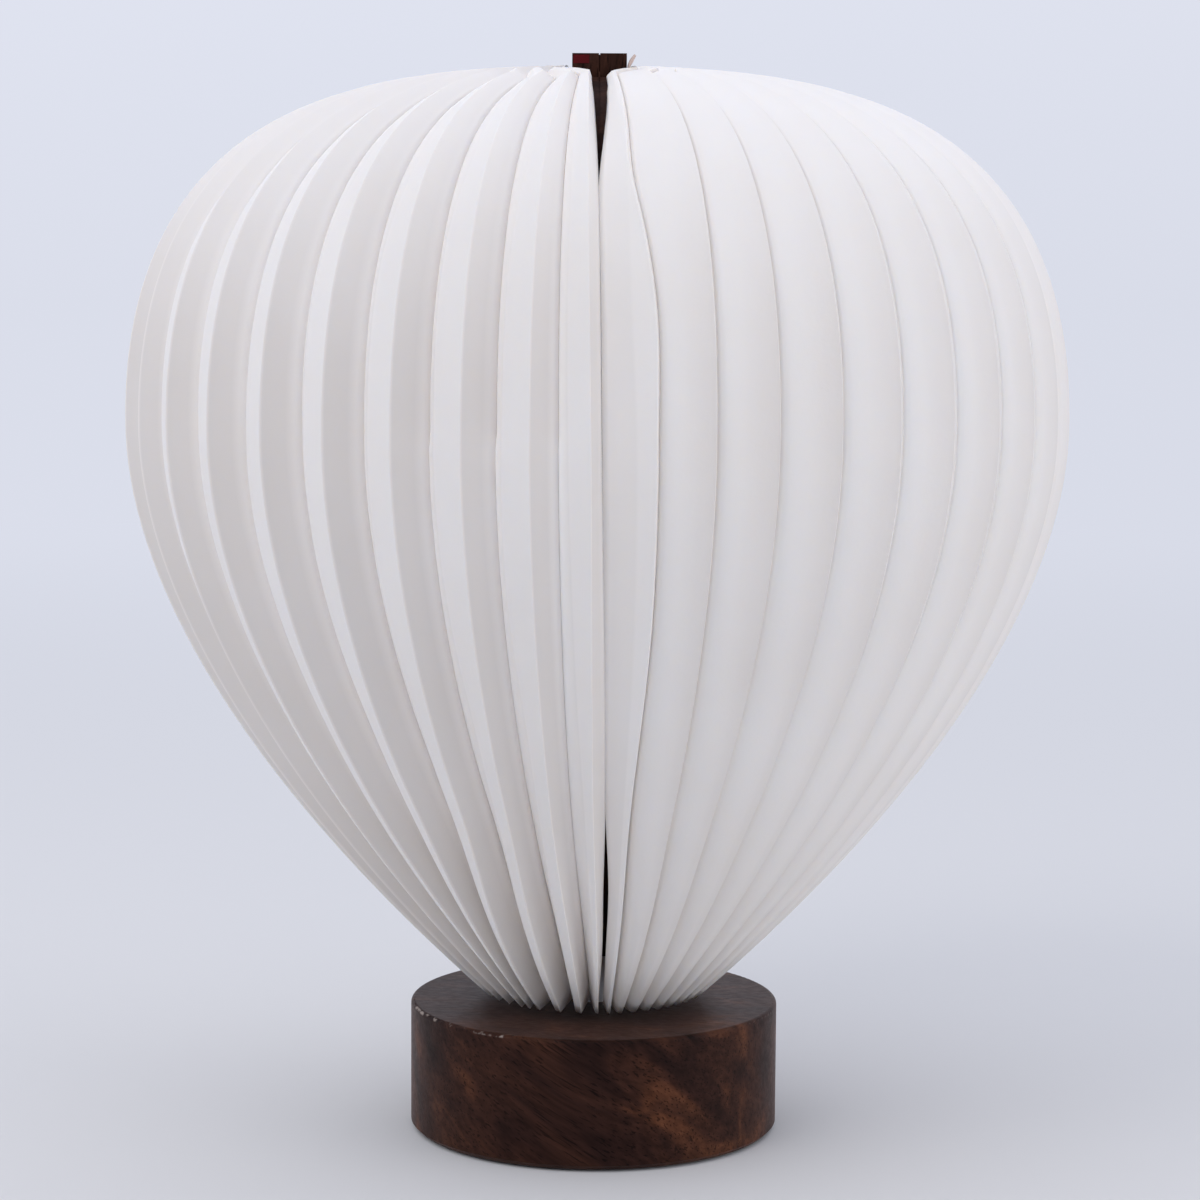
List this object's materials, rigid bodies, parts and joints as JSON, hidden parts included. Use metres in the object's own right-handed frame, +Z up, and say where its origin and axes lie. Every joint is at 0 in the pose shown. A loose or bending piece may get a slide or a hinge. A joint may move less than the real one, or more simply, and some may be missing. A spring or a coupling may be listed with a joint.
{
  "type": "accordion paper lantern",
  "caption": "Table lantern: a balloon-shaped accordion of pleated paper between two walnut boards that swing round an upright spine above a round wooden base.",
  "frame": {"origin": "centre of the underside of the base, on the table", "axes": "+Z up along the spine; -Y is the front, where the two boards meet; +X to the right seen from the front"},
  "size_m": [0.2263, 0.2264, 0.2577],
  "materials": {
    "walnut": "oiled",
    "board_walnut": "oiled",
    "black_plastic": "matte",
    "steel": "satin",
    "foot_rubber": "matte",
    "ballast_iron": "raw",
    "battery_wrap": "satin",
    "circuit_board": "satin",
    "aluminium": "satin",
    "led_strip": "satin",
    "frosted_diffuser": "frosted",
    "brass": "satin",
    "magnet_nickel": "polished",
    "red_lacquer": "gloss",
    "paper": "matte"
  },
  "bodies": {
    "base": {"base_block": "walnut", "base_plate": "black_plastic", "plate_screws": "steel", "foot_ring": "foot_rubber", "ballast_disc": "ballast_iron", "battery_pack": "battery_wrap", "control_board": "circuit_board", "usb_c_socket": "steel", "spine_tube": "aluminium", "led_strips": "led_strip", "diffuser_tube": "frosted_diffuser", "top_cap": "walnut", "fixed_board": "board_walnut", "fixed_hinge_arms": "brass", "fixed_magnets": "magnet_nickel", "red_inlay": "red_lacquer", "leaf_40": "paper"},
    "moving_board": {"moving_board": "board_walnut", "moving_hinge_arms": "brass", "moving_magnets": "magnet_nickel", "leaf_01": "paper"},
    "power_button": {"power_button": "black_plastic"},
    "leaf_02": {"leaf_02": "paper"},
    "leaf_03": {"leaf_03": "paper"},
    "leaf_04": {"leaf_04": "paper"},
    "leaf_05": {"leaf_05": "paper"},
    "leaf_06": {"leaf_06": "paper"},
    "leaf_07": {"leaf_07": "paper"},
    "leaf_08": {"leaf_08": "paper"},
    "leaf_09": {"leaf_09": "paper"},
    "leaf_10": {"leaf_10": "paper"},
    "leaf_11": {"leaf_11": "paper"},
    "leaf_12": {"leaf_12": "paper"},
    "leaf_13": {"leaf_13": "paper"},
    "leaf_14": {"leaf_14": "paper"},
    "leaf_15": {"leaf_15": "paper"},
    "leaf_16": {"leaf_16": "paper"},
    "leaf_17": {"leaf_17": "paper"},
    "leaf_18": {"leaf_18": "paper"},
    "leaf_19": {"leaf_19": "paper"},
    "leaf_20": {"leaf_20": "paper"},
    "leaf_21": {"leaf_21": "paper"},
    "leaf_22": {"leaf_22": "paper"},
    "leaf_23": {"leaf_23": "paper"},
    "leaf_24": {"leaf_24": "paper"},
    "leaf_25": {"leaf_25": "paper"},
    "leaf_26": {"leaf_26": "paper"},
    "leaf_27": {"leaf_27": "paper"},
    "leaf_28": {"leaf_28": "paper"},
    "leaf_29": {"leaf_29": "paper"},
    "leaf_30": {"leaf_30": "paper"},
    "leaf_31": {"leaf_31": "paper"},
    "leaf_32": {"leaf_32": "paper"},
    "leaf_33": {"leaf_33": "paper"},
    "leaf_34": {"leaf_34": "paper"},
    "leaf_35": {"leaf_35": "paper"},
    "leaf_36": {"leaf_36": "paper"},
    "leaf_37": {"leaf_37": "paper"},
    "leaf_38": {"leaf_38": "paper"},
    "leaf_39": {"leaf_39": "paper"}
  },
  "joints": [
    {"name": "lantern_fold", "type": "hinge", "parent": "base", "child": "moving_board", "pos_m": [0, 0, 0.15], "axis": [0, 0, 1], "range_deg": [0, 305]},
    {"name": "fold_02", "type": "hinge", "parent": "base", "child": "leaf_02", "pos_m": [0, 0, 0.15], "axis": [0, 0, 1], "range_deg": [0, 299.73]},
    {"name": "fold_03", "type": "hinge", "parent": "base", "child": "leaf_03", "pos_m": [0, 0, 0.15], "axis": [0, 0, 1], "range_deg": [0, 294.03]},
    {"name": "fold_04", "type": "hinge", "parent": "base", "child": "leaf_04", "pos_m": [0, 0, 0.15], "axis": [0, 0, 1], "range_deg": [0, 287.94]},
    {"name": "fold_05", "type": "hinge", "parent": "base", "child": "leaf_05", "pos_m": [0, 0, 0.15], "axis": [0, 0, 1], "range_deg": [0, 281.51]},
    {"name": "fold_06", "type": "hinge", "parent": "base", "child": "leaf_06", "pos_m": [0, 0, 0.15], "axis": [0, 0, 1], "range_deg": [0, 274.77]},
    {"name": "fold_07", "type": "hinge", "parent": "base", "child": "leaf_07", "pos_m": [0, 0, 0.15], "axis": [0, 0, 1], "range_deg": [0, 267.76]},
    {"name": "fold_08", "type": "hinge", "parent": "base", "child": "leaf_08", "pos_m": [0, 0, 0.15], "axis": [0, 0, 1], "range_deg": [0, 260.51]},
    {"name": "fold_09", "type": "hinge", "parent": "base", "child": "leaf_09", "pos_m": [0, 0, 0.15], "axis": [0, 0, 1], "range_deg": [0, 253.04]},
    {"name": "fold_10", "type": "hinge", "parent": "base", "child": "leaf_10", "pos_m": [0, 0, 0.15], "axis": [0, 0, 1], "range_deg": [0, 245.37]},
    {"name": "fold_11", "type": "hinge", "parent": "base", "child": "leaf_11", "pos_m": [0, 0, 0.15], "axis": [0, 0, 1], "range_deg": [0, 237.53]},
    {"name": "fold_12", "type": "hinge", "parent": "base", "child": "leaf_12", "pos_m": [0, 0, 0.15], "axis": [0, 0, 1], "range_deg": [0, 229.53]},
    {"name": "fold_13", "type": "hinge", "parent": "base", "child": "leaf_13", "pos_m": [0, 0, 0.15], "axis": [0, 0, 1], "range_deg": [0, 221.4]},
    {"name": "fold_14", "type": "hinge", "parent": "base", "child": "leaf_14", "pos_m": [0, 0, 0.15], "axis": [0, 0, 1], "range_deg": [0, 213.14]},
    {"name": "fold_15", "type": "hinge", "parent": "base", "child": "leaf_15", "pos_m": [0, 0, 0.15], "axis": [0, 0, 1], "range_deg": [0, 204.78]},
    {"name": "fold_16", "type": "hinge", "parent": "base", "child": "leaf_16", "pos_m": [0, 0, 0.15], "axis": [0, 0, 1], "range_deg": [0, 196.32]},
    {"name": "fold_17", "type": "hinge", "parent": "base", "child": "leaf_17", "pos_m": [0, 0, 0.15], "axis": [0, 0, 1], "range_deg": [0, 187.78]},
    {"name": "fold_18", "type": "hinge", "parent": "base", "child": "leaf_18", "pos_m": [0, 0, 0.15], "axis": [0, 0, 1], "range_deg": [0, 179.16]},
    {"name": "fold_19", "type": "hinge", "parent": "base", "child": "leaf_19", "pos_m": [0, 0, 0.15], "axis": [0, 0, 1], "range_deg": [0, 170.49]},
    {"name": "fold_20", "type": "hinge", "parent": "base", "child": "leaf_20", "pos_m": [0, 0, 0.15], "axis": [0, 0, 1], "range_deg": [0, 161.76]},
    {"name": "fold_21", "type": "hinge", "parent": "base", "child": "leaf_21", "pos_m": [0, 0, 0.15], "axis": [0, 0, 1], "range_deg": [0, 152.99]},
    {"name": "fold_22", "type": "hinge", "parent": "base", "child": "leaf_22", "pos_m": [0, 0, 0.15], "axis": [0, 0, 1], "range_deg": [0, 144.18]},
    {"name": "fold_23", "type": "hinge", "parent": "base", "child": "leaf_23", "pos_m": [0, 0, 0.15], "axis": [0, 0, 1], "range_deg": [0, 135.36]},
    {"name": "fold_24", "type": "hinge", "parent": "base", "child": "leaf_24", "pos_m": [0, 0, 0.15], "axis": [0, 0, 1], "range_deg": [0, 126.52]},
    {"name": "fold_25", "type": "hinge", "parent": "base", "child": "leaf_25", "pos_m": [0, 0, 0.15], "axis": [0, 0, 1], "range_deg": [0, 117.68]},
    {"name": "fold_26", "type": "hinge", "parent": "base", "child": "leaf_26", "pos_m": [0, 0, 0.15], "axis": [0, 0, 1], "range_deg": [0, 108.84]},
    {"name": "fold_27", "type": "hinge", "parent": "base", "child": "leaf_27", "pos_m": [0, 0, 0.15], "axis": [0, 0, 1], "range_deg": [0, 100.04]},
    {"name": "fold_28", "type": "hinge", "parent": "base", "child": "leaf_28", "pos_m": [0, 0, 0.15], "axis": [0, 0, 1], "range_deg": [0, 91.27]},
    {"name": "fold_29", "type": "hinge", "parent": "base", "child": "leaf_29", "pos_m": [0, 0, 0.15], "axis": [0, 0, 1], "range_deg": [0, 82.55]},
    {"name": "fold_30", "type": "hinge", "parent": "base", "child": "leaf_30", "pos_m": [0, 0, 0.15], "axis": [0, 0, 1], "range_deg": [0, 73.91]},
    {"name": "fold_31", "type": "hinge", "parent": "base", "child": "leaf_31", "pos_m": [0, 0, 0.15], "axis": [0, 0, 1], "range_deg": [0, 65.36]},
    {"name": "fold_32", "type": "hinge", "parent": "base", "child": "leaf_32", "pos_m": [0, 0, 0.15], "axis": [0, 0, 1], "range_deg": [0, 56.94]},
    {"name": "fold_33", "type": "hinge", "parent": "base", "child": "leaf_33", "pos_m": [0, 0, 0.15], "axis": [0, 0, 1], "range_deg": [0, 48.68]},
    {"name": "fold_34", "type": "hinge", "parent": "base", "child": "leaf_34", "pos_m": [0, 0, 0.15], "axis": [0, 0, 1], "range_deg": [0, 40.62]},
    {"name": "fold_35", "type": "hinge", "parent": "base", "child": "leaf_35", "pos_m": [0, 0, 0.15], "axis": [0, 0, 1], "range_deg": [0, 32.8]},
    {"name": "fold_36", "type": "hinge", "parent": "base", "child": "leaf_36", "pos_m": [0, 0, 0.15], "axis": [0, 0, 1], "range_deg": [0, 25.3]},
    {"name": "fold_37", "type": "hinge", "parent": "base", "child": "leaf_37", "pos_m": [0, 0, 0.15], "axis": [0, 0, 1], "range_deg": [0, 18.17]},
    {"name": "fold_38", "type": "hinge", "parent": "base", "child": "leaf_38", "pos_m": [0, 0, 0.15], "axis": [0, 0, 1], "range_deg": [0, 11.5]},
    {"name": "fold_39", "type": "hinge", "parent": "base", "child": "leaf_39", "pos_m": [0, 0, 0.15], "axis": [0, 0, 1], "range_deg": [0, 5.41]},
    {"name": "power_press", "type": "slide", "parent": "base", "child": "power_button", "axis": [-0.5299, -0.848, 0], "range_m": [0, 0.001], "stiffness_N_per_m": 300, "springref_m": -0.002}
  ],
  "couplings": [
    {"joint": "fold_02", "follows": "lantern_fold", "ratio": 0.9827},
    {"joint": "fold_03", "follows": "lantern_fold", "ratio": 0.96399},
    {"joint": "fold_04", "follows": "lantern_fold", "ratio": 0.94403},
    {"joint": "fold_05", "follows": "lantern_fold", "ratio": 0.92295},
    {"joint": "fold_06", "follows": "lantern_fold", "ratio": 0.90087},
    {"joint": "fold_07", "follows": "lantern_fold", "ratio": 0.87789},
    {"joint": "fold_08", "follows": "lantern_fold", "ratio": 0.8541},
    {"joint": "fold_09", "follows": "lantern_fold", "ratio": 0.8296},
    {"joint": "fold_10", "follows": "lantern_fold", "ratio": 0.80446},
    {"joint": "fold_11", "follows": "lantern_fold", "ratio": 0.77875},
    {"joint": "fold_12", "follows": "lantern_fold", "ratio": 0.75254},
    {"joint": "fold_13", "follows": "lantern_fold", "ratio": 0.72587},
    {"joint": "fold_14", "follows": "lantern_fold", "ratio": 0.6988},
    {"joint": "fold_15", "follows": "lantern_fold", "ratio": 0.67138},
    {"joint": "fold_16", "follows": "lantern_fold", "ratio": 0.64364},
    {"joint": "fold_17", "follows": "lantern_fold", "ratio": 0.61563},
    {"joint": "fold_18", "follows": "lantern_fold", "ratio": 0.58738},
    {"joint": "fold_19", "follows": "lantern_fold", "ratio": 0.55893},
    {"joint": "fold_20", "follows": "lantern_fold", "ratio": 0.53032},
    {"joint": "fold_21", "follows": "lantern_fold", "ratio": 0.50156},
    {"joint": "fold_22", "follows": "lantern_fold", "ratio": 0.4727},
    {"joint": "fold_23", "follows": "lantern_fold", "ratio": 0.44376},
    {"joint": "fold_24", "follows": "lantern_fold", "ratio": 0.41478},
    {"joint": "fold_25", "follows": "lantern_fold", "ratio": 0.38579},
    {"joint": "fold_26", "follows": "lantern_fold", "ratio": 0.35684},
    {"joint": "fold_27", "follows": "lantern_fold", "ratio": 0.32796},
    {"joint": "fold_28", "follows": "lantern_fold", "ratio": 0.2992},
    {"joint": "fold_29", "follows": "lantern_fold", "ratio": 0.27062},
    {"joint": "fold_30", "follows": "lantern_fold", "ratio": 0.24228},
    {"joint": "fold_31", "follows": "lantern_fold", "ratio": 0.21427},
    {"joint": "fold_32", "follows": "lantern_fold", "ratio": 0.18666},
    {"joint": "fold_33", "follows": "lantern_fold", "ratio": 0.15958},
    {"joint": "fold_34", "follows": "lantern_fold", "ratio": 0.13315},
    {"joint": "fold_35", "follows": "lantern_fold", "ratio": 0.10753},
    {"joint": "fold_36", "follows": "lantern_fold", "ratio": 0.08291},
    {"joint": "fold_37", "follows": "lantern_fold", "ratio": 0.059533},
    {"joint": "fold_38", "follows": "lantern_fold", "ratio": 0.037678},
    {"joint": "fold_39", "follows": "lantern_fold", "ratio": 0.017693}
  ]
}
